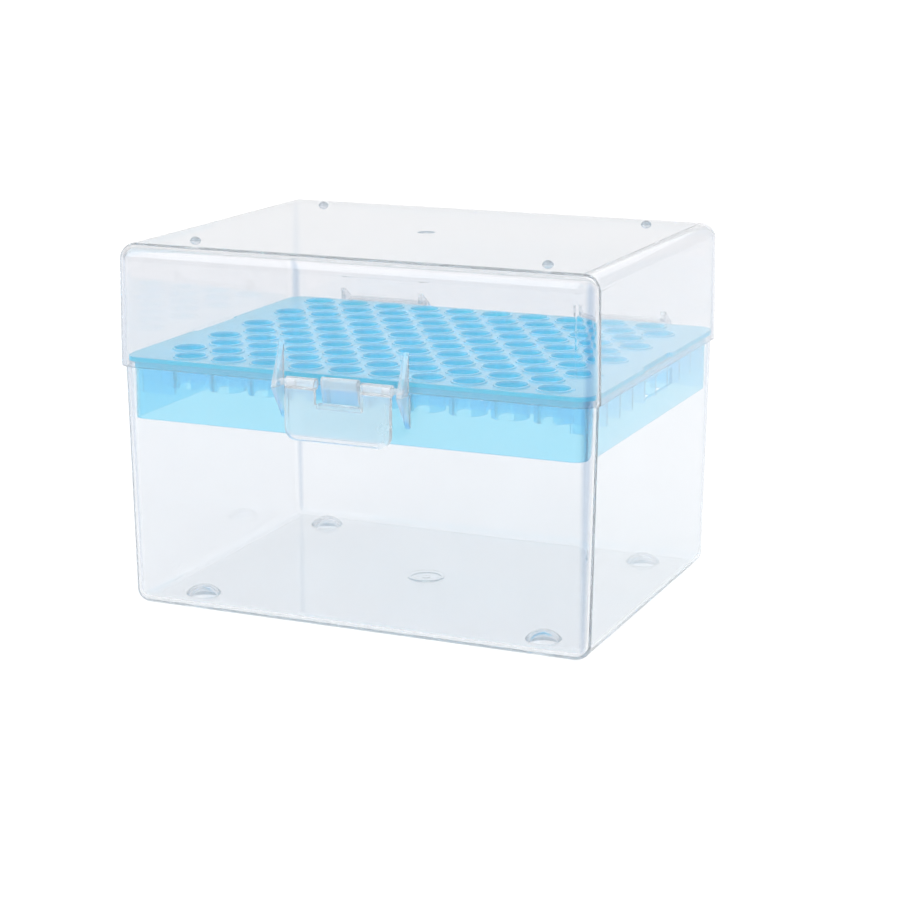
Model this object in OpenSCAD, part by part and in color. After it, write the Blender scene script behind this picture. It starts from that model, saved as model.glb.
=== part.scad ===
// Hinged box for 100 pipette tips: a drafted clear base, a deep clear lid on
// two moulded back hinges, a snap-on front latch and a lift-out rack whose
// holes stand in staggered rows. Millimetres, +Z up, +X to the right, the
// front (latch) side at -Y. The origin is the centre of the rest face.

/* [Box] */
// Width over the lid's rim
box_w = 130; // [126:0.5:150]
// Depth over the lid's rim
box_d = 100; // [99.5:0.5:120]
// Height over the lid's flat top
box_h = 95; // [88:0.5:125]
// Height of the lip that carries the rack
rim_z = 65; // [60:0.5:74]
// Draft of the base's walls, per side, from shoulder to rest face
base_taper = 1.1; // [0.4:0.1:1.6]
// Draft of the lid's walls, per side, from rim to top
lid_taper = 0.5; // [0.2:0.1:1.2]
// Gap between two mouldings that lie beside each other
gap = 0.3; // [0.2:0.05:0.4]

/* [Base] */
// Wall of the base
base_wall = 1.4; // [1.2:0.1:1.6]
// Floor of the base
floor_t = 1.5; // [1.2:0.1:2.5]
// Step from the lid's side in to the base's side
base_step = 0.8; // [0.6:0.05:1]
// Height of the lip that the lid's rim slides over
lip_h = 1.6; // [1.2:0.1:2.2]
// Corner radius of the base at its rest face
base_corner = 4; // [3.8:0.1:6]
// Fillet round the foot of the base
base_fillet = 3.6; // [2.4:0.1:3.7]

/* [Lid] */
// Wall of the lid
lid_wall = 1.2; // [1:0.1:1.3]
// Corner radius of the lid at its rim
lid_corner = 5; // [4.6:0.1:7]
// Fillet round the lid's top edge
lid_fillet = 4.2; // [2.6:0.1:4.4]

/* [Stacking] */
// Distance between the stacking pips, left to right
stack_w = 96; // [80:1:104]
// Distance between the stacking pips, front to back
stack_d = 73; // [56:1:78]
// Diameter of a stacking pip on the lid
pip_d = 3; // [2:0.1:4]
// Height of a stacking pip
pip_h = 1.1; // [0.6:0.1:1.6]
// Diameter of a stacking dimple's dome on the base's floor
dimple_d = 9.2; // [8:0.1:11]
// Height of that dome above the floor
dimple_h = 2.4; // [1.8:0.1:3]

/* [Gates] */
// Diameter of the gate recess under the base
base_gate_d = 10; // [6:0.5:16]
// Diameter of the gate recess in the lid's top
lid_gate_d = 4.6; // [3:0.1:8]
// Depth of both gate recesses
gate_depth = 0.4; // [0.2:0.05:0.6]

/* [Rack] */
// Holes in a row
cols = 10; // [4:1:10]
// Rows of holes
rows = 10; // [4:1:10]
// Distance from the skirt's short sides to the nearest hole's centre
end_margin = 9.155; // [8.5:0.005:14]
// Distance from the skirt's long sides to the first and the last row
row_margin = 5; // [4.9:0.05:9]
// Diameter of a tip hole
hole_d = 8; // [6:0.1:8.1]
// Thickness of the rack's plate
plate_t = 1.2; // [1:0.1:2]
// Width of the raised rim round a hole
bead_w = 0.55; // [0.3:0.05:0.6]
// Height of the raised rim round a hole
bead_h = 0.35; // [0.2:0.05:0.8]
// Wall of the collar under a hole
collar_wall = 0.8; // [0.5:0.1:0.9]
// Length of the collar, from the plate's top to its end
collar_h = 7.6; // [4:0.2:12]
// Thickness of the rib that joins a row's collars
row_rib_t = 0.9; // [0.6:0.1:1.2]
// How far a row's rib stops short of the collars' ends
row_rib_up = 1.6; // [0.8:0.1:3]
// Depth below the collars of the webs that tie them to the skirt's short sides
web_drop = 2.6; // [0.5:0.1:5]
// Height of the rack's skirt, from the plate's top to its lower edge
skirt_h = 16.2; // [13.6:0.2:26]
// Wall of the skirt
skirt_wall = 0.9; // [0.7:0.1:1]
// Gap from the flange's side edge in to the skirt's short side
skirt_in_x = 1.9; // [1.6:0.1:2.6]
// Gap from the flange's front edge in to the skirt's long side
skirt_in_y = 1.1; // [1.1:0.05:1.2]
// Corner radius of the skirt
skirt_corner = 3; // [2:0.1:4]
// Width of the finger window in each short side of the skirt
grip_w = 22; // [14:0.5:30]
// Height of the finger window
grip_h = 4.4; // [4.4:0.1:6]
// Distance from the plate's underside down to the finger window
grip_drop = 3.8; // [2:0.1:4.5]
// Offset of the right window to the back, and of the left one to the front
grip_shift = 6; // [0:0.5:8]
// Depth of the finger notch in the flange over each window
grip_notch = 1; // [0.5:0.1:1.8]

/* [Back hinges] */
// Distance between the two hinges' centres
hinge_span = 72; // [60:1:80]
// Length of a hinge between the lid's ears
hinge_w = 23; // [14:0.5:30]
// Distance of the hinge axis behind the lid's wall
hinge_out = 3; // [2.9:0.05:4]
// Height of the hinge axis above the lid's rim
hinge_up = 0.7; // [0.4:0.05:1.2]
// Diameter of the hinge rod
rod_d = 2.4; // [1.8:0.1:2.6]
// Radial clearance of the rod in its knuckle
rod_gap = 0.06; // [0.03:0.01:0.1]
// Outside diameter of the knuckle
knuckle_d = 4.8; // [4.2:0.1:5]
// Width of the slot through which the rod snaps in
snap_w = 1.8; // [1:0.1:2]
// Height of a hinge ear above the hinge axis
ear_h = 5.3; // [4:0.1:9]

/* [Ribs] */
// Thickness of ears and ribs
rib_t = 1.4; // [1:0.1:2]
// How far the front ribs stand out from the lid's wall
rib_out = 4.6; // [4.2:0.1:6]
// Height of a lid rib above the rim
lid_rib_h = 9.9; // [7:0.1:16]
// Height of a base rib below the shoulder
base_rib_h = 8.4; // [5:0.1:16]

/* [Front latch] */
// Width of the latch
latch_w = 28.4; // [24:0.2:34]
// Height of the latch, from its pivot down to its lower edge
latch_h = 14.1; // [12:0.1:20]
// Thickness of the latch's plate
latch_t = 1.3; // [1:0.1:1.5]
// Corner radius at the latch's lower edge
latch_corner = 3; // [1.5:0.1:4]
// Width of the raised border round the latch
border_w = 1.1; // [0.8:0.1:1.6]
// Height of that border
border_h = 0.5; // [0.2:0.05:0.8]
// Width of the notch between the latch's ears
notch_w = 12.6; // [11.6:0.2:16]
// Distance of the pivot in front of the lid's wall
pivot_out = 2.4; // [2.3:0.05:3]
// Height of the pivot above the lid's rim
pivot_up = 0.6; // [0.4:0.05:1.2]
// Diameter of the pivot pins
pivot_d = 1.6; // [1.2:0.1:1.8]
// Radial clearance of the pins in the latch
pivot_gap = 0.06; // [0.03:0.01:0.1]
// Outside diameter of the latch's knuckles
latch_knuckle_d = 3; // [2.8:0.1:3.4]
// Gap from the latch's side to the rib beside it
latch_side_gap = 2; // [0.6:0.1:3]
// How far a pin reaches into the latch
pin_bite = 2.4; // [1.5:0.1:4]

/* [Catch] */
// Width of the catch on the base
catch_w = 9.8; // [6:0.2:10.6]
// Height of the catch above the rack's flange seat
catch_top = 1.2; // [0.6:0.1:2]
// Distance from the latch pivot down to the catch's lower face
catch_drop = 4.6; // [4.2:0.1:6]
// Thickness of the catch at its rounded top
catch_t = 2.4; // [2:0.1:2.8]
// How far the catch's lower face stands out past the lid's wall
catch_out = 1.7; // [1.4:0.05:2]
// How far the latch's hook reaches in under the catch
hook_in = 1.5; // [1:0.05:1.8]
// Height of the hook
hook_t = 1.2; // [0.8:0.1:2]

/* [Hidden] */
$fn = 96;

// Heights
shoulder_z = rim_z - lip_h;
lid_rim_z = shoulder_z + gap;
plate_z = rim_z + plate_t;
skirt_z = plate_z - skirt_h;
collar_z = plate_z - collar_h;

// The base: corner centres, and half sizes of shoulder, inside and lip
base_x = box_w / 2 - base_step;
base_y = box_d / 2 - base_step;
base_cx = base_x - base_corner - base_taper;
base_cy = base_y - base_corner - base_taper;
base_draft = base_taper / shoulder_z;
lip_x = box_w / 2 - lid_wall - gap;
lip_y = box_d / 2 - lid_wall - gap;
lip_corner = base_corner + base_taper - base_x + lip_x;

// The lid: corner centres
lid_cx = box_w / 2 - lid_corner;
lid_cy = box_d / 2 - lid_corner;
lid_draft = lid_taper / (box_h - lid_rim_z);

// The rack: half sizes of its flange and skirt
flange_x = lip_x - 0.1;
flange_y = lip_y - 0.1;
skirt_x = flange_x - skirt_in_x;
skirt_y = flange_y - skirt_in_y;
hole_pitch = 2 * (skirt_x - end_margin) / (cols - 0.5);
row_pitch = 2 * (skirt_y - row_margin) / (rows - 1);
grip_top_z = rim_z - grip_drop;
collar_r = hole_d / 2 + collar_wall;

// The back hinges
axis_y = box_d / 2 + hinge_out;
axis_z = lid_rim_z + hinge_up;
knuckle_r = knuckle_d / 2;

// The front latch and its catch
pivot_y = -box_d / 2 - pivot_out;
pivot_z = lid_rim_z + pivot_up;
pivot_bore_r = pivot_d / 2 + pivot_gap;
latch_knuckle_r = latch_knuckle_d / 2;
latch_y = pivot_y - latch_knuckle_r + 0.2;
rib_x = latch_w / 2 + latch_side_gap + rib_t / 2;
catch_z = pivot_z - catch_drop;
hook_z = catch_z - gap;

// Outline of a wall in section, drawn out from its corner's axis: it leans
// out by `draft` a millimetre, and `f` rounds its foot
module wall_profile(r, draft, h, f) {
    lean = sqrt(1 + draft * draft);
    fx = r + draft * f - f * lean;
    intersection() {
        translate([fx, f]) circle(r = f);
        square([r + f, f]);
    }
    polygon([
        [0, 0], [fx, 0], [fx + f / lean, f - f * draft / lean],
        [r + draft * h, h], [0, h]
    ]);
}

// Drafted block with round corners and a rounded foot, corner centres at
// (+-cx, +-cy)
module drafted_block(cx, cy, r, draft, h, f) {
    for (side = [0, 1])
        mirror([side, 0, 0])
            translate([cx, cy, 0])
                rotate([90, 0, 0])
                    linear_extrude(2 * cy)
                        wall_profile(r, draft, h, f);
    for (side = [0, 1])
        mirror([0, side, 0])
            translate([-cx, cy, 0])
                rotate([90, 0, 90])
                    linear_extrude(2 * cx)
                        wall_profile(r, draft, h, f);
    for (sx = [0, 1], sy = [0, 1])
        mirror([sx, 0, 0])
            mirror([0, sy, 0])
                translate([cx, cy, 0])
                    rotate_extrude(angle = 90)
                        wall_profile(r, draft, h, f);
    translate([-cx, -cy, 0]) cube([2 * cx, 2 * cy, h]);
}

// Rectangle with round corners, from its half sizes
module round_rect(hx, hy, r) {
    translate([-hx, -hy + r]) square([2 * hx, 2 * (hy - r)]);
    translate([-hx + r, -hy]) square([2 * (hx - r), 2 * hy]);
    for (sx = [-1, 1], sy = [-1, 1])
        translate([sx * (hx - r), sy * (hy - r)]) circle(r = r);
}

// Section drawn in the Y-Z plane, made `t` thick about x = 0
module slab_x(t) {
    translate([-t / 2, 0, 0])
        rotate([90, 0, 90])
            linear_extrude(t)
                children();
}

// Round bar along X, centred on x = 0
module bar_x(r, length) {
    rotate([0, 90, 0]) cylinder(r = r, h = length, center = true);
}

module at_stack_points() {
    for (sx = [-1, 1], sy = [-1, 1])
        translate([sx * stack_w / 2, sy * stack_d / 2, 0]) children();
}

module at_hinges() {
    for (sx = [-1, 1])
        translate([sx * hinge_span / 2, 0, 0]) children();
}

module at_ribs() {
    for (sx = [-1, 1])
        translate([sx * rib_x, 0, 0]) children();
}

// Spherical cap of base diameter d and height h, standing on z = 0, grown
// by `grow` on its round side
module dome(d, h, grow) {
    r = (d * d / 4 + h * h) / (2 * h);
    translate([0, 0, h - r]) sphere(r = r + grow);
}

// ---- Base ----

module base_shell() {
    in_z = floor_t;
    in_r = base_corner - base_wall + base_draft * in_z;
    difference() {
        drafted_block(base_cx, base_cy, base_corner, base_draft, shoulder_z,
            base_fillet);
        translate([0, 0, in_z])
            drafted_block(base_cx, base_cy, in_r, base_draft,
                shoulder_z + 1 - in_z, max(0.6, base_fillet - base_wall));
    }
}

// Lip that the lid's rim slides over and that the rack's flange sits on
module base_lip() {
    in_x = base_x - base_wall;
    in_y = base_y - base_wall;
    translate([0, 0, shoulder_z - 0.8])
        linear_extrude(lip_h + 0.8)
            difference() {
                round_rect(lip_x, lip_y, lip_corner);
                round_rect(in_x, in_y, base_corner + base_taper - base_wall);
            }
}

module stack_dome() {
    intersection() {
        translate([0, 0, floor_t]) dome(dimple_d, dimple_h, 0);
        translate([-dimple_d, -dimple_d, 0])
            cube([2 * dimple_d, 2 * dimple_d, 3 * dimple_h + floor_t]);
    }
}

module stack_recess() {
    translate([0, 0, floor_t]) dome(dimple_d, dimple_h, -base_wall);
}

// Bracket and split knuckle that grips the lid's hinge rod
module base_hinge() {
    length = hinge_w - 2 * gap;
    web_t = 1.4;
    web_z = shoulder_z - web_t;
    difference() {
        union() {
            translate([0, axis_y, axis_z]) bar_x(knuckle_r, length);
            slab_x(length)
                polygon([
                    [base_y - base_wall / 2, web_z],
                    [axis_y, web_z],
                    [axis_y, shoulder_z],
                    [base_y - base_wall / 2, shoulder_z]
                ]);
            for (sx = [-1, 0, 1])
                translate([sx * (length - rib_t) / 2, 0, 0])
                    slab_x(rib_t)
                        polygon([
                            [base_y - base_wall / 2, web_z + 0.2],
                            [base_y - base_wall / 2, web_z - 5],
                            [base_y + 0.2, web_z - 5],
                            [axis_y + 0.6, web_z + 0.2]
                        ]);
        }
        translate([0, axis_y, axis_z])
            bar_x(rod_d / 2 + rod_gap, length + 2);
        translate([-length, axis_y, axis_z - snap_w / 2])
            cube([2 * length, knuckle_d, snap_w]);
    }
}

// Catch that the latch's hook snaps under. Its rounded upper part stands in
// front of the lid's rim, which drops in behind it.
module base_catch() {
    back_y = -box_d / 2 - gap - 0.2;
    top_z = rim_z + catch_top;
    round_r = catch_t / 2;
    translate([0, back_y - round_r, top_z - round_r]) bar_x(round_r, catch_w);
    slab_x(catch_w)
        polygon([
            [back_y, top_z - round_r],
            [back_y - catch_t, top_z - round_r],
            [-box_d / 2 - catch_out, catch_z],
            [-base_y + base_wall / 2, catch_z],
            [-base_y + base_wall / 2, shoulder_z - 0.3],
            [back_y, shoulder_z - 0.3]
        ]);
}

module base_rib() {
    top_z = shoulder_z - gap;
    slab_x(rib_t)
        polygon([
            [-base_y + base_wall / 2, top_z],
            [-box_d / 2 - rib_out, top_z],
            [-base_y + base_wall / 2, top_z - base_rib_h - 1]
        ]);
}

module base() {
    color([0.90, 0.92, 0.95, 0.45])
        difference() {
            union() {
                base_shell();
                base_lip();
                at_stack_points() stack_dome();
                cylinder(d = base_gate_d, h = floor_t + gate_depth);
                at_hinges() base_hinge();
                base_catch();
                at_ribs() base_rib();
            }
            at_stack_points() stack_recess();
            translate([0, 0, -1])
                difference() {
                    cylinder(d = base_gate_d - 1.6, h = 1 + gate_depth);
                    translate([0, 0, 1 + gate_depth / 2]) cylinder(d = 2.2, h = 1);
                }
        }
}

// ---- Rack ----

// Centre of hole c of row r: every other row is moved half a pitch
function hole_at(c, r) = [
    (c - (cols - 1) / 2 + (r % 2 == 0 ? 0.25 : -0.25)) * hole_pitch,
    (r - (rows - 1) / 2) * row_pitch
];

module at_holes() {
    for (r = [0:rows - 1], c = [0:cols - 1])
        translate(hole_at(c, r)) children();
}

module rack_plate() {
    translate([0, 0, rim_z])
        linear_extrude(plate_t)
            difference() {
                round_rect(flange_x, flange_y, lip_corner);
                for (sx = [-1, 1])
                    translate([sx * flange_x, 0])
                        square([2 * grip_notch, grip_w], center = true);
            }
}

module rack_skirt() {
    difference() {
        translate([0, 0, skirt_z])
            linear_extrude(skirt_h - plate_t / 2)
                difference() {
                    round_rect(skirt_x, skirt_y, skirt_corner);
                    round_rect(skirt_x - skirt_wall, skirt_y - skirt_wall,
                        skirt_corner - skirt_wall);
                }
        for (turn = [0, 180])
            rotate([0, 0, turn])
                translate([0, grip_shift - grip_w / 2, grip_top_z - grip_h])
                    cube([box_w / 2, grip_w, grip_h]);
    }
}

module rack_row_ribs() {
    rib_z = collar_z + row_rib_up;
    length = 2 * skirt_x - skirt_wall;
    for (r = [0:rows - 1])
        translate([0, hole_at(0, r)[1], rib_z])
            translate([-length / 2, -row_rib_t / 2, 0])
                cube([length, row_rib_t, plate_z - plate_t / 2 - rib_z]);
}

// One web from the last collar of each row out to the skirt
module rack_end_webs() {
    web_z = collar_z - web_drop;
    web_h = plate_z - plate_t / 2 - web_z;
    for (r = [0:rows - 1], sx = [-1, 1]) {
        hole = hole_at(sx > 0 ? cols - 1 : 0, r);
        start = abs(hole[0]) + collar_r - collar_wall / 2;
        length = skirt_x - skirt_wall / 2 - start;
        translate([sx * (start + length / 2), hole[1], web_z + web_h / 2])
            cube([length, row_rib_t, web_h], center = true);
    }
}

module rack() {
    color([0.33, 0.70, 0.93, 0.75])
        difference() {
            union() {
                rack_plate();
                rack_skirt();
                rack_row_ribs();
                rack_end_webs();
                at_holes()
                    translate([0, 0, collar_z])
                        cylinder(r = collar_r, h = collar_h - plate_t / 2);
                at_holes()
                    translate([0, 0, rim_z + plate_t / 2])
                        cylinder(r = hole_d / 2 + bead_w,
                            h = plate_t / 2 + bead_h);
            }
            at_holes()
                translate([0, 0, collar_z - 1])
                    cylinder(d = hole_d, h = collar_h + bead_h + 2);
        }
}

// ---- Lid ----

module lid_shell() {
    h = box_h - lid_rim_z;
    in_r = lid_corner - lid_taper - lid_wall + lid_draft * lid_wall;
    translate([0, 0, box_h])
        mirror([0, 0, 1])
            difference() {
                drafted_block(lid_cx, lid_cy, lid_corner - lid_taper,
                    lid_draft, h, lid_fillet);
                translate([0, 0, lid_wall])
                    drafted_block(lid_cx, lid_cy, in_r, lid_draft,
                        h + 1 - lid_wall, lid_fillet - lid_wall);
            }
}

module lid_pip() {
    intersection() {
        translate([0, 0, box_h]) dome(pip_d, pip_h, 0);
        translate([-pip_d, -pip_d, box_h - lid_wall / 2])
            cube(2 * pip_d);
    }
}

// Ear pair and the rod that the base's knuckle grips
module lid_hinge() {
    wall_y = box_d / 2 - lid_wall / 2;
    for (sx = [-1, 1])
        translate([sx * (hinge_w + rib_t) / 2, 0, 0]) {
            translate([0, axis_y, axis_z]) bar_x(knuckle_r, rib_t);
            slab_x(rib_t)
                polygon([
                    [wall_y, lid_rim_z],
                    [axis_y, lid_rim_z],
                    [axis_y + knuckle_r * 0.8, axis_z + knuckle_r * 0.6],
                    [wall_y, axis_z + ear_h]
                ]);
        }
    translate([0, axis_y, axis_z]) bar_x(rod_d / 2, hinge_w + rib_t);
}

// Rib beside the latch, with the pin that the latch turns on
module lid_rib() {
    wall_y = -box_d / 2 + lid_wall / 2;
    low_z = pivot_z - pivot_d / 2 - 0.2;
    slab_x(rib_t)
        polygon([
            [wall_y, lid_rim_z],
            [-box_d / 2 - gap - 0.2, lid_rim_z],
            [-box_d / 2 - gap - 0.2, low_z],
            [-box_d / 2 - rib_out, low_z],
            [wall_y, lid_rim_z + lid_rib_h + 1]
        ]);
}

module lid_pin() {
    length = latch_side_gap + pin_bite + rib_t / 2;
    translate([rib_x - length / 2, pivot_y, pivot_z])
        bar_x(pivot_d / 2, length);
}

module lid() {
    color([0.90, 0.92, 0.95, 0.40])
        difference() {
            union() {
                lid_shell();
                at_stack_points() lid_pip();
                at_hinges() lid_hinge();
                at_ribs() lid_rib();
                for (side = [0, 1])
                    mirror([side, 0, 0]) lid_pin();
            }
            translate([0, 0, box_h - gate_depth])
                difference() {
                    cylinder(d = lid_gate_d, h = 1);
                    cylinder(d = 1.6, h = gate_depth / 2);
                }
        }
}

// ---- Latch ----

// Outline of the latch's plate, drawn with the pivot at the origin
module latch_outline(inset) {
    hx = latch_w / 2 - inset;
    low = -latch_h + inset;
    r = latch_corner - inset / 2;
    translate([-hx, low + r]) square([2 * hx, -low - r]);
    translate([-hx + r, low]) square([2 * (hx - r), -low]);
    for (sx = [-1, 1])
        translate([sx * (hx - r), low + r]) circle(r = r);
}

// Stands a drawing in the X-Z plane, from y = front to y = front + t
module upright(front, t) {
    translate([0, front + t, pivot_z])
        rotate([90, 0, 0])
            linear_extrude(t)
                children();
}

module latch_ears() {
    ear_w = (latch_w - notch_w) / 2;
    for (sx = [-1, 1])
        translate([sx * (latch_w - ear_w) / 2, pivot_y, pivot_z])
            bar_x(latch_knuckle_r, ear_w);
}

module latch() {
    notch_low = hook_z - pivot_z;
    color([0.90, 0.92, 0.95, 0.50])
        difference() {
            union() {
                upright(latch_y, latch_t) latch_outline(0);
                upright(latch_y - border_h, border_h + 0.2)
                    difference() {
                        latch_outline(0);
                        latch_outline(border_w);
                        translate([-latch_w, -latch_knuckle_r - 1.5])
                            square([2 * latch_w, latch_knuckle_d + 3]);
                    }
                latch_ears();
                translate([-notch_w / 2 + gap, latch_y + latch_t / 2,
                    hook_z - hook_t])
                    cube([notch_w - 2 * gap,
                        pivot_y + hook_in - latch_y - latch_t / 2, hook_t]);
            }
            translate([-notch_w / 2, pivot_y - 6, hook_z])
                cube([notch_w, 12, latch_h]);
            translate([0, pivot_y, pivot_z])
                bar_x(pivot_bore_r, latch_w + 2);
        }
}

base();
rack();
lid();
latch();
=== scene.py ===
import bmesh
import bpy
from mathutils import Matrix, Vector

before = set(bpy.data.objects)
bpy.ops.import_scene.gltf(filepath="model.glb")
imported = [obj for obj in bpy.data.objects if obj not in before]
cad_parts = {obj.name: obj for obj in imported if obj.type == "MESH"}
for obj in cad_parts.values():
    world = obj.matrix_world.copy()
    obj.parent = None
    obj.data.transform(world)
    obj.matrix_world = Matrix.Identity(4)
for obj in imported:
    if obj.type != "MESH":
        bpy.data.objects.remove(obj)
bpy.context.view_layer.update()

scene = bpy.context.scene


def hexToLinear(code):
    channels = [int(code[i:i + 2], 16) / 255 for i in (1, 3, 5)]
    linear = [c / 12.92 if c <= 0.04045 else ((c + 0.055) / 1.055) ** 2.4 for c in channels]
    return (*linear, 1.0)


def addNode(tree, kind, settings=None, links=None):
    node = tree.nodes.new(kind)
    for name, value in (settings or {}).items():
        if isinstance(name, int) or name in node.inputs:
            node.inputs[name].default_value = value
        else:
            setattr(node, name, value)
    for name, source in (links or {}).items():
        tree.links.new(source, node.inputs[name])
    return node


def newMaterial(name):
    material = bpy.data.materials.new(name)
    material.use_nodes = True
    material.node_tree.nodes.clear()
    return material, material.node_tree


def aimAt(thing, place, aim):
    thing.location = Vector(place)
    thing.rotation_euler = (Vector(aim) - Vector(place)).to_track_quat("-Z", "Y").to_euler()
    scene.collection.objects.link(thing)


cameraSettings = {
    "place": (0.24028, -0.53963, 0.18175),  # m
    "aim": (0.05356, -0.10815, 0.06620),    # m
    "lens": 91.2,     # mm
    "sensor": 36,     # mm
    "nearest": 0.01,  # m, so that a close view of the box isn't cut
}


def makeCamera(s):
    data = bpy.data.cameras.new("camera")
    data.lens = s["lens"]
    data.sensor_width = s["sensor"]
    data.clip_start = s["nearest"]
    camera = bpy.data.objects.new("camera", data)
    aimAt(camera, s["place"], s["aim"])
    scene.camera = camera


makeCamera(cameraSettings)
print("camera placed")

# A sheet of matt paper, lit through from below until it is plain white.
floorSettings = {
    "size": 12.0,       # m
    "drop": 0.0003,     # m, keeps the sheet just clear of the box's underside
    "squares": 4,
    "colour": ("#818181", "#7D7D7E"),
    "cloudSize": 0.15,  # m, faint clouds in the paper's fibres
    "cloudDetail": 2.0,
    "roughness": 0.9,
    "shine": 0.1,
    "glowColour": "#FFFFFF",
    "glow": 0.88,
}


def makeFloor(s):
    mesh = bpy.data.meshes.new("floor")
    bm = bmesh.new()
    bmesh.ops.create_grid(bm, x_segments=s["squares"], y_segments=s["squares"], size=s["size"] / 2)
    bmesh.ops.translate(bm, verts=bm.verts, vec=(0, 0, -s["drop"]))
    bm.to_mesh(mesh)
    bm.free()
    floor = bpy.data.objects.new("floor", mesh)
    scene.collection.objects.link(floor)
    material, tree = newMaterial("mattPaperSheet")
    place = addNode(tree, "ShaderNodeTexCoord")
    cloud = addNode(tree, "ShaderNodeTexNoise",
                    {"Scale": 1 / s["cloudSize"], "Detail": s["cloudDetail"]},
                    {"Vector": place.outputs["Object"]})
    tone = addNode(tree, "ShaderNodeMix",
                   {"data_type": "RGBA", 6: hexToLinear(s["colour"][0]), 7: hexToLinear(s["colour"][1])},
                   {0: cloud.outputs[0]})
    paper = addNode(tree, "ShaderNodeBsdfPrincipled",
                    {"Roughness": s["roughness"], "Specular IOR Level": s["shine"],
                     "Emission Color": hexToLinear(s["glowColour"]), "Emission Strength": s["glow"]},
                    {"Base Color": tone.outputs[2]})
    addNode(tree, "ShaderNodeOutputMaterial", {}, {"Surface": paper.outputs[0]})
    mesh.materials.append(material)


makeFloor(floorSettings)

# An even white room, brightest low down behind the box and dimmer in front and overhead, which draws the clear edges.
roomSettings = {
    "colour": "#FFFFFF",
    "front": 0.78,
    "back": 0.97,
    "overhead": 0.95,
    "turnsBack": (0.25, 0.8),  # from the middle towards the back, where the front's light goes over into the back's
    "turnsUp": (0.35, 0.65),   # from level towards straight up, where both go over into the overhead light
}


def makeRoom(s):
    world = bpy.data.worlds.new("softRoom")
    scene.world = world
    world.use_nodes = True
    tree = world.node_tree
    tree.nodes.clear()
    place = addNode(tree, "ShaderNodeTexCoord")
    split = addNode(tree, "ShaderNodeSeparateXYZ", {}, {0: place.outputs["Generated"]})
    around = addNode(tree, "ShaderNodeMapRange",
                     {"From Min": s["turnsBack"][0], "From Max": s["turnsBack"][1],
                      "To Min": s["front"], "To Max": s["back"]},
                     {"Value": split.outputs["Y"]})
    rise = addNode(tree, "ShaderNodeMapRange",
                   {"From Min": s["turnsUp"][0], "From Max": s["turnsUp"][1]},
                   {"Value": split.outputs["Z"]})
    level = addNode(tree, "ShaderNodeMix", {"data_type": "FLOAT", 3: s["overhead"]},
                    {0: rise.outputs[0], 2: around.outputs[0]})
    light = addNode(tree, "ShaderNodeBackground", {"Color": hexToLinear(s["colour"])},
                    {"Strength": level.outputs[0]})
    addNode(tree, "ShaderNodeOutputWorld", {}, {"Surface": light.outputs[0]})


makeRoom(roomSettings)

# Softboxes in front on both sides, and a faint one behind.
lampSettings = {  # metres and watts
    "keyBox": {"place": (-1.0, -1.3, 1.6), "size": (1.8, 1.8), "power": 17.0},
    "fillBox": {"place": (1.5, -1.0, 1.2), "size": (1.4, 1.4), "power": 4.0},
    "rearBox": {"place": (0.2, 1.3, 0.9), "size": (1.4, 0.7), "power": 1.0},
}
lampAim = (0, 0, 0.05)


def makeLamps(lamps):
    for name, s in lamps.items():
        data = bpy.data.lights.new(name, "AREA")
        data.shape = "RECTANGLE"
        data.size, data.size_y = s["size"]
        data.energy = s["power"]
        aimAt(bpy.data.objects.new(name, data), s["place"], lampAim)


makeLamps(lampSettings)

scene.view_settings.view_transform = "Standard"  # keeps the white sheet white
bounceLimits = {  # a look through the rack crosses dozens of walls
    "max_bounces": 48, "transmission_bounces": 48, "glossy_bounces": 24,
    "diffuse_bounces": 16, "volume_bounces": 8, "transparent_max_bounces": 32,
}
for name, most in bounceLimits.items():
    setattr(scene.cycles, name, most)
print("studio lit")


def letLampsThrough(tree, plastic, lampTint):
    # lamps shine in through the walls, tinted a little, instead of leaving the inside dark
    through = addNode(tree, "ShaderNodeBsdfTransparent", {"Color": hexToLinear(lampTint)})
    path = addNode(tree, "ShaderNodeLightPath")
    return addNode(tree, "ShaderNodeMixShader", {},
                   {0: path.outputs["Is Shadow Ray"], 1: plastic.outputs[0], 2: through.outputs[0]})


def mouldedSkin(tree, place, s):
    # what every moulding here shows: drifts in its tint and gloss where the melt flowed, and the mould's fine grain
    flow = addNode(tree, "ShaderNodeTexNoise",
                   {"Scale": 1 / s["flowSize"], "Detail": s["flowDetail"], "Distortion": s["flowTwist"]},
                   {"Vector": place.outputs["Object"]})
    grain = addNode(tree, "ShaderNodeTexNoise",
                    {"Scale": 1 / s["grainSize"], "Detail": s["grainDetail"]},
                    {"Vector": place.outputs["Object"]})
    drift = addNode(tree, "ShaderNodeMix",
                    {"data_type": "RGBA", 6: hexToLinear(s["tint"][0]), 7: hexToLinear(s["tint"][1])},
                    {0: flow.outputs[0]})
    gloss = addNode(tree, "ShaderNodeMapRange",
                    {"From Min": s["flowSpread"][0], "From Max": s["flowSpread"][1],
                     "To Min": s["roughness"][0], "To Max": s["roughness"][1]},
                    {"Value": flow.outputs[0]})
    bump = addNode(tree, "ShaderNodeBump", {"Strength": s["grainStrength"], "Distance": s["grainDepth"]},
                   {"Height": grain.outputs[0]})
    return drift, gloss, bump


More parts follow.
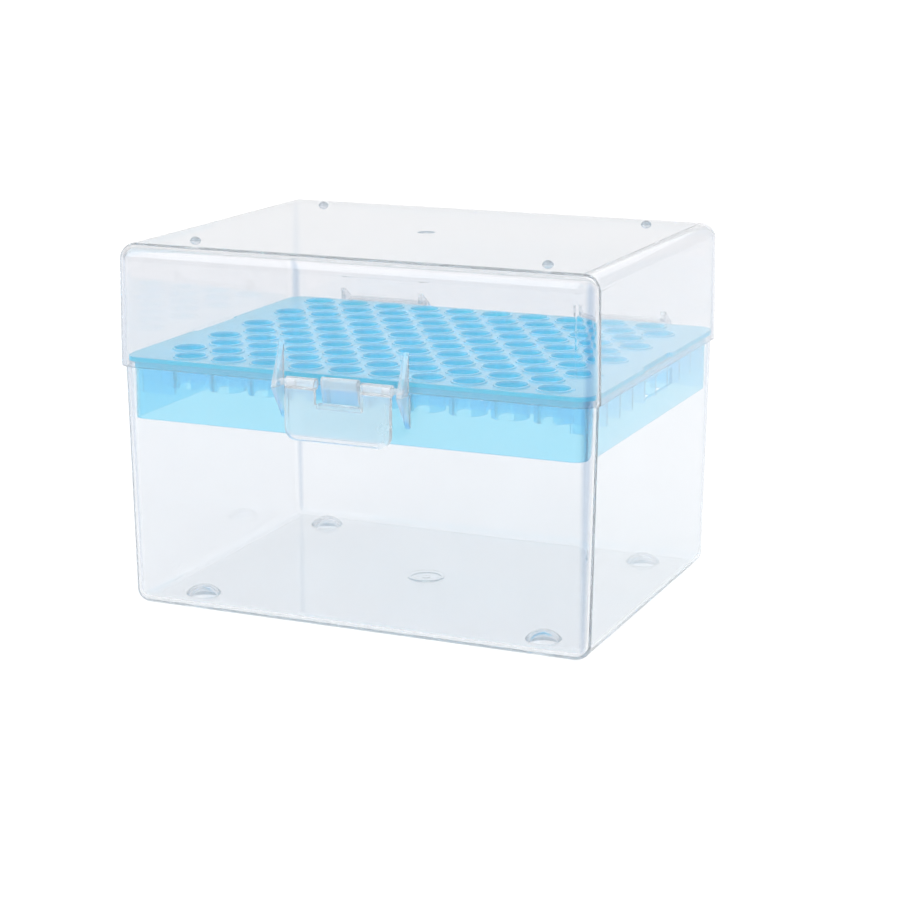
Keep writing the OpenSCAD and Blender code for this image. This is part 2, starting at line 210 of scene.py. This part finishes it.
# Natural polypropylene, clarified and injection moulded: clear, with a milky haze in its depth, faint drifts where
# the melt flowed, a painted blue-grey shade on the upright corners, and a satin skin on what stands out of the front.
clearSettings = {
    "tint": ("#F6F7F9", "#F2F3F5"),
    # painted shade: the blue-grey painted on the upright corners, where the curved clear walls would look darker
    "cornerPaintedShade": "#B8C6D8",
    "cornerFrom": (0.0611, 0.0461),  # m, half sizes where the upright corners' arcs set in
    "cornerFade": 0.0010,            # m
    "lampTint": "#FEFEFE",
    "flowSize": 0.022,    # m, the drifts' width
    "flowDetail": 3.0,
    "flowTwist": 0.6,
    "flowSpread": (0.3, 0.7),
    "grainSize": 0.0006,  # m, coarser than the mould's real grain so that it can show
    "grainDetail": 2.0,
    "grainStrength": 0.02,
    "grainDepth": 0.00001,  # m
    "roughness": (0.02, 0.03),
    "transmission": 0.98,
    "satinOutside": 0.0502,  # m in front of the middle, just past the wall: catch and ribs
    "satinFade": 0.0003,     # m
    "satinRoughness": 0.2,
    "satinTransmission": 0.8,
    "milk": "#F5F8FC",
    "milkDensity": 35.0,
    "milkForwards": 0.3,  # most of what the haze scatters goes on ahead
    "depth": "#95B3CC",
    "depthDensity": 12.0,
    "ior": 1.49,
}
lidSettings = {
    **clearSettings,
    "tint": ("#F2F2F4", "#EEEEF0"),
    "cornerFrom": (0.0620, 0.0470),
}
# The latch came from another mould with a satin face all over, so nothing is added in front.
latchSettings = {
    **clearSettings,
    "roughness": (0.18, 0.30),
    "transmission": 0.86,
    "satinRoughness": 0.0,
    "satinTransmission": 0.86,
}


def clearPolypropylene(name, s):
    material, tree = newMaterial(name)
    place = addNode(tree, "ShaderNodeTexCoord")
    drift, gloss, bump = mouldedSkin(tree, place, s)

    # painted shade: the upright corners lie far out both sideways and to the front or back, and are painted blue-grey
    # there
    split = addNode(tree, "ShaderNodeSeparateXYZ", {}, {0: place.outputs["Object"]})
    sideways = addNode(tree, "ShaderNodeMath", {"operation": "ABSOLUTE"}, {0: split.outputs["X"]})
    endways = addNode(tree, "ShaderNodeMath", {"operation": "ABSOLUTE"}, {0: split.outputs["Y"]})
    bySide = addNode(tree, "ShaderNodeMapRange",
                     {"From Min": s["cornerFrom"][0], "From Max": s["cornerFrom"][0] + s["cornerFade"]},
                     {"Value": sideways.outputs[0]})
    byEnd = addNode(tree, "ShaderNodeMapRange",
                    {"From Min": s["cornerFrom"][1], "From Max": s["cornerFrom"][1] + s["cornerFade"]},
                    {"Value": endways.outputs[0]})
    paintedCornerShadeMask = addNode(tree, "ShaderNodeMath", {"operation": "MULTIPLY"},
                     {0: bySide.outputs[0], 1: byEnd.outputs[0]})
    # painted shade: the blue-grey is mixed into the tint at the upright corners
    tint = addNode(tree, "ShaderNodeMix", {"data_type": "RGBA", 7: hexToLinear(s["cornerPaintedShade"])},
                   {0: paintedCornerShadeMask.outputs[0], 6: drift.outputs[2]})

    # the satin skin begins just in front of the wall
    forwards = addNode(tree, "ShaderNodeMath", {"operation": "MULTIPLY", 1: -1.0}, {0: split.outputs["Y"]})
    outside = addNode(tree, "ShaderNodeMapRange",
                      {"From Min": s["satinOutside"], "From Max": s["satinOutside"] + s["satinFade"]},
                      {"Value": forwards.outputs[0]})
    skin = addNode(tree, "ShaderNodeMath", {"operation": "MULTIPLY_ADD", 1: s["satinRoughness"]},
                   {0: outside.outputs[0], 2: gloss.outputs[0]})
    clear = addNode(tree, "ShaderNodeMapRange",
                    {"To Min": s["transmission"], "To Max": s["satinTransmission"]},
                    {"Value": outside.outputs[0]})

    plastic = addNode(tree, "ShaderNodeBsdfPrincipled", {"IOR": s["ior"]},
                      {"Base Color": tint.outputs[2], "Roughness": skin.outputs[0],
                       "Transmission Weight": clear.outputs[0], "Normal": bump.outputs[0]})
    surface = letLampsThrough(tree, plastic, s["lampTint"])
    milk = addNode(tree, "ShaderNodeVolumeScatter",
                   {"Color": hexToLinear(s["milk"]), "Density": s["milkDensity"],
                    "Anisotropy": s["milkForwards"]})
    depth = addNode(tree, "ShaderNodeVolumeAbsorption",
                    {"Color": hexToLinear(s["depth"]), "Density": s["depthDensity"]})
    inside = addNode(tree, "ShaderNodeAddShader", {}, {0: milk.outputs[0], 1: depth.outputs[0]})
    addNode(tree, "ShaderNodeOutputMaterial", {}, {"Surface": surface.outputs[0], "Volume": inside.outputs[0]})
    return material


# Sky-blue polypropylene, injection moulded with a satin skin: a painted highlight makes the plate's top palest,
# painted shade makes the mouths of the holes deepest, and it is clear enough below for the collars to show through
# the skirt.
rackSettings = {
    "tint": ("#BAF1FF", "#B2EEFF"),
    "lampTint": "#F6FCFF",
    "flowSize": 0.018,    # m, drifts of the dye
    "flowDetail": 3.0,
    "flowTwist": 0.4,
    "flowSpread": (0.3, 0.7),
    "grainSize": 0.0005,  # m, coarser than the mould's real grain so that it can show
    "grainDetail": 2.0,
    "grainStrength": 0.15,
    "grainDepth": 0.00002,  # m
    "roughness": (0.04, 0.07),
    "transmission": 0.80,
    # the height below also starts the painted shade in the mouths of the holes
    "plateFrom": 0.0630,  # m, height where the plate's denser look sets in
    "plateFade": 0.0006,  # m
    "plateTransmission": 0.45,
    # painted shade: the deeper blue painted in the mouths of the holes and under the plate
    "mouthPaintedShade": "#4CEBFF",
    "topFrom": 0.0659,    # m, just under the plate's top face, with the rims above it
    "topFade": 0.0002,    # m
    # painted highlight: the paler blue painted on the plate's top face and its rims
    "topPaintedHighlight": "#ABEEFF",
    "depth": "#18FAFF",
    "depthDensity": 170.0,
    "ior": 1.49,
}


def bluePolypropylene(name, s):
    material, tree = newMaterial(name)
    place = addNode(tree, "ShaderNodeTexCoord")
    drift, gloss, bump = mouldedSkin(tree, place, s)

    # the plate and the mouths of its holes are denser to the light than the skirt and the collars below, and above
    # the same height a deeper blue is painted on as painted shade
    split = addNode(tree, "ShaderNodeSeparateXYZ", {}, {0: place.outputs["Object"]})
    plate = addNode(tree, "ShaderNodeMapRange",
                    {"From Min": s["plateFrom"], "From Max": s["plateFrom"] + s["plateFade"]},
                    {"Value": split.outputs["Z"]})
    # painted highlight: this mask paints the plate's top face and its rims paler
    top = addNode(tree, "ShaderNodeMapRange",
                  {"From Min": s["topFrom"], "From Max": s["topFrom"] + s["topFade"]},
                  {"Value": split.outputs["Z"]})
    clear = addNode(tree, "ShaderNodeMapRange",
                    {"To Min": s["transmission"], "To Max": s["plateTransmission"]},
                    {"Value": plate.outputs[0]})
    # painted shade: a deeper blue painted from the plate height upwards
    paintedMouthShade = addNode(tree, "ShaderNodeMix", {"data_type": "RGBA", 7: hexToLinear(s["mouthPaintedShade"])},
                     {0: plate.outputs[0], 6: drift.outputs[2]})
    # painted highlight: the paler blue is mixed in over the top
    tint = addNode(tree, "ShaderNodeMix", {"data_type": "RGBA", 7: hexToLinear(s["topPaintedHighlight"])},
                   {0: top.outputs[0], 6: paintedMouthShade.outputs[2]})

    plastic = addNode(tree, "ShaderNodeBsdfPrincipled", {"IOR": s["ior"]},
                      {"Base Color": tint.outputs[2], "Roughness": gloss.outputs[0],
                       "Transmission Weight": clear.outputs[0], "Normal": bump.outputs[0]})
    surface = letLampsThrough(tree, plastic, s["lampTint"])
    depth = addNode(tree, "ShaderNodeVolumeAbsorption",
                    {"Color": hexToLinear(s["depth"]), "Density": s["depthDensity"]})
    addNode(tree, "ShaderNodeOutputMaterial", {}, {"Surface": surface.outputs[0], "Volume": depth.outputs[0]})
    return material


finishes = {
    "base": clearPolypropylene("clearPolypropyleneMouldedBase", clearSettings),
    "lid": clearPolypropylene("clearPolypropyleneMouldedLid", lidSettings),
    "latch": clearPolypropylene("satinPolypropyleneLatch", latchSettings),
    "rack": bluePolypropylene("skyBluePolypropyleneRack", rackSettings),
}
for nodeName, material in finishes.items():
    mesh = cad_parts[nodeName].data
    mesh.materials.clear()
    mesh.materials.append(material)
print("parts finished")
